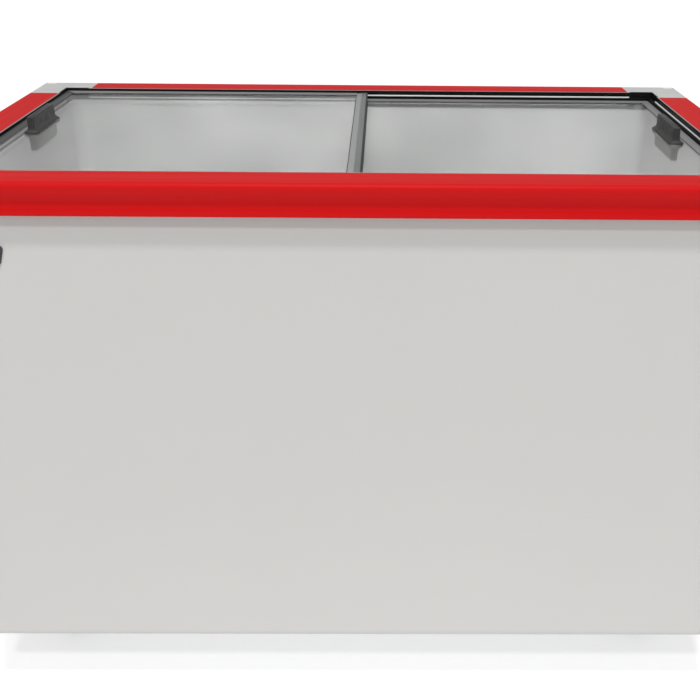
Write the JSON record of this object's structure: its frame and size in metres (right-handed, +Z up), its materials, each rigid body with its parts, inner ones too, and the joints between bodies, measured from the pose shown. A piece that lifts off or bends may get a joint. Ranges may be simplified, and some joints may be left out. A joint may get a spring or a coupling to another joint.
{
  "type": "chest freezer",
  "caption": "White glass-top chest freezer with a red rim, grey corner caps, flat sliding glass lids and swivel castors.",
  "frame": {"origin": "on the floor, below the middle of the rim", "axes": "+X to the right along the length, +Y to the back, +Z up"},
  "size_m": [1.135, 0.635, 0.839],
  "materials": {
    "white_sheet": "satin",
    "zinc_steel": "satin",
    "foam": "matte",
    "liner_white": "satin",
    "collar_grey": "matte",
    "tube_aluminium": "satin",
    "tube_black": "satin",
    "rim_red": "satin",
    "cap_grey": "satin",
    "track_black": "satin",
    "bead_white": "satin",
    "lid_glass": "gloss",
    "lid_grey": "satin",
    "handle_dark": "satin",
    "brush_black": "matte",
    "grille_black": "matte",
    "screw_zinc": "satin",
    "compressor_black": "satin",
    "grommet_rubber": "matte",
    "relay_black": "matte",
    "copper": "satin",
    "control_grey": "satin",
    "knob_black": "satin",
    "badge_dark": "satin",
    "gland_black": "matte",
    "drain_white": "satin",
    "plug_rubber": "matte",
    "castor_zinc": "satin",
    "axle_steel": "satin",
    "wheel_rubber": "matte"
  },
  "bodies": {
    "cabinet": {"front_panel": "white_sheet", "left_side_panel": "white_sheet", "right_side_panel": "white_sheet", "back_panel": "white_sheet", "base_pan": "zinc_steel", "foam_insulation": "foam", "inner_liner": "liner_white", "liner_collar": "collar_grey", "evaporator_tube": "tube_aluminium", "condenser_tube": "tube_black", "rim_profile_front": "rim_red", "rim_profile_back": "rim_red", "rim_profile_left": "rim_red", "rim_profile_right": "rim_red", "rim_cap_front_left": "cap_grey", "rim_cap_front_right": "cap_grey", "rim_cap_back_left": "cap_grey", "rim_cap_back_right": "cap_grey", "track_long_rails": "track_black", "track_short_rails": "track_black", "track_corners": "track_black", "slide_beads": "bead_white", "vent_grille": "grille_black", "service_cover": "white_sheet", "panel_screws": "screw_zinc", "compressor": "compressor_black", "compressor_grommets": "grommet_rubber", "relay_cover": "relay_black", "refrigerant_pipes": "copper", "control_plate": "control_grey", "badge": "badge_dark", "cord_gland": "gland_black", "drain_tube": "drain_white", "drain_plug": "plug_rubber", "castor_plates": "castor_zinc"},
    "upper_lid": {"upper_lid_glass": "lid_glass", "upper_lid_side_profiles": "lid_grey", "upper_lid_end_profile": "lid_grey", "upper_lid_meeting_profile": "lid_grey", "upper_lid_brush": "brush_black", "upper_lid_handle": "handle_dark"},
    "lower_lid": {"lower_lid_glass": "lid_glass", "lower_lid_side_profiles": "lid_grey", "lower_lid_end_profile": "lid_grey", "lower_lid_meeting_profile": "lid_grey", "lower_lid_handle": "handle_dark"},
    "thermostat_knob": {"thermostat_knob": "knob_black"},
    "swivel_front_left": {"castor_fork_front_left": "castor_zinc", "castor_axle_front_left": "axle_steel"},
    "wheel_front_left": {"castor_wheel_front_left": "wheel_rubber"},
    "swivel_front_right": {"castor_fork_front_right": "castor_zinc", "castor_axle_front_right": "axle_steel"},
    "wheel_front_right": {"castor_wheel_front_right": "wheel_rubber"},
    "swivel_back_left": {"castor_fork_back_left": "castor_zinc", "castor_axle_back_left": "axle_steel"},
    "wheel_back_left": {"castor_wheel_back_left": "wheel_rubber"},
    "swivel_back_right": {"castor_fork_back_right": "castor_zinc", "castor_axle_back_right": "axle_steel"},
    "wheel_back_right": {"castor_wheel_back_right": "wheel_rubber"}
  },
  "joints": [
    {"name": "upper_lid_slide", "type": "slide", "parent": "cabinet", "child": "upper_lid", "axis": [1, 0, 0], "range_m": [0, 0.448]},
    {"name": "lower_lid_slide", "type": "slide", "parent": "cabinet", "child": "lower_lid", "axis": [1, 0, 0], "range_m": [-0.448, 0]},
    {"name": "thermostat_turn", "type": "hinge", "parent": "cabinet", "child": "thermostat_knob", "pos_m": [0.549, -0.225, 0.25], "axis": [1, 0, 0], "range_deg": [-300, 0]},
    {"name": "swivel_turn_front_left", "type": "hinge", "parent": "cabinet", "child": "swivel_front_left", "pos_m": [-0.47, -0.19, 0.09], "axis": [0, 0, 1], "continuous": true},
    {"name": "wheel_spin_front_left", "type": "hinge", "parent": "swivel_front_left", "child": "wheel_front_left", "pos_m": [-0.47, -0.158, 0.0375], "axis": [1, 0, 0], "continuous": true},
    {"name": "swivel_turn_front_right", "type": "hinge", "parent": "cabinet", "child": "swivel_front_right", "pos_m": [0.47, -0.19, 0.09], "axis": [0, 0, 1], "continuous": true},
    {"name": "wheel_spin_front_right", "type": "hinge", "parent": "swivel_front_right", "child": "wheel_front_right", "pos_m": [0.47, -0.158, 0.0375], "axis": [1, 0, 0], "continuous": true},
    {"name": "swivel_turn_back_left", "type": "hinge", "parent": "cabinet", "child": "swivel_back_left", "pos_m": [-0.47, 0.19, 0.09], "axis": [0, 0, 1], "continuous": true},
    {"name": "wheel_spin_back_left", "type": "hinge", "parent": "swivel_back_left", "child": "wheel_back_left", "pos_m": [-0.47, 0.222, 0.0375], "axis": [1, 0, 0], "continuous": true},
    {"name": "swivel_turn_back_right", "type": "hinge", "parent": "cabinet", "child": "swivel_back_right", "pos_m": [0.47, 0.19, 0.09], "axis": [0, 0, 1], "continuous": true},
    {"name": "wheel_spin_back_right", "type": "hinge", "parent": "swivel_back_right", "child": "wheel_back_right", "pos_m": [0.47, 0.222, 0.0375], "axis": [1, 0, 0], "continuous": true}
  ]
}
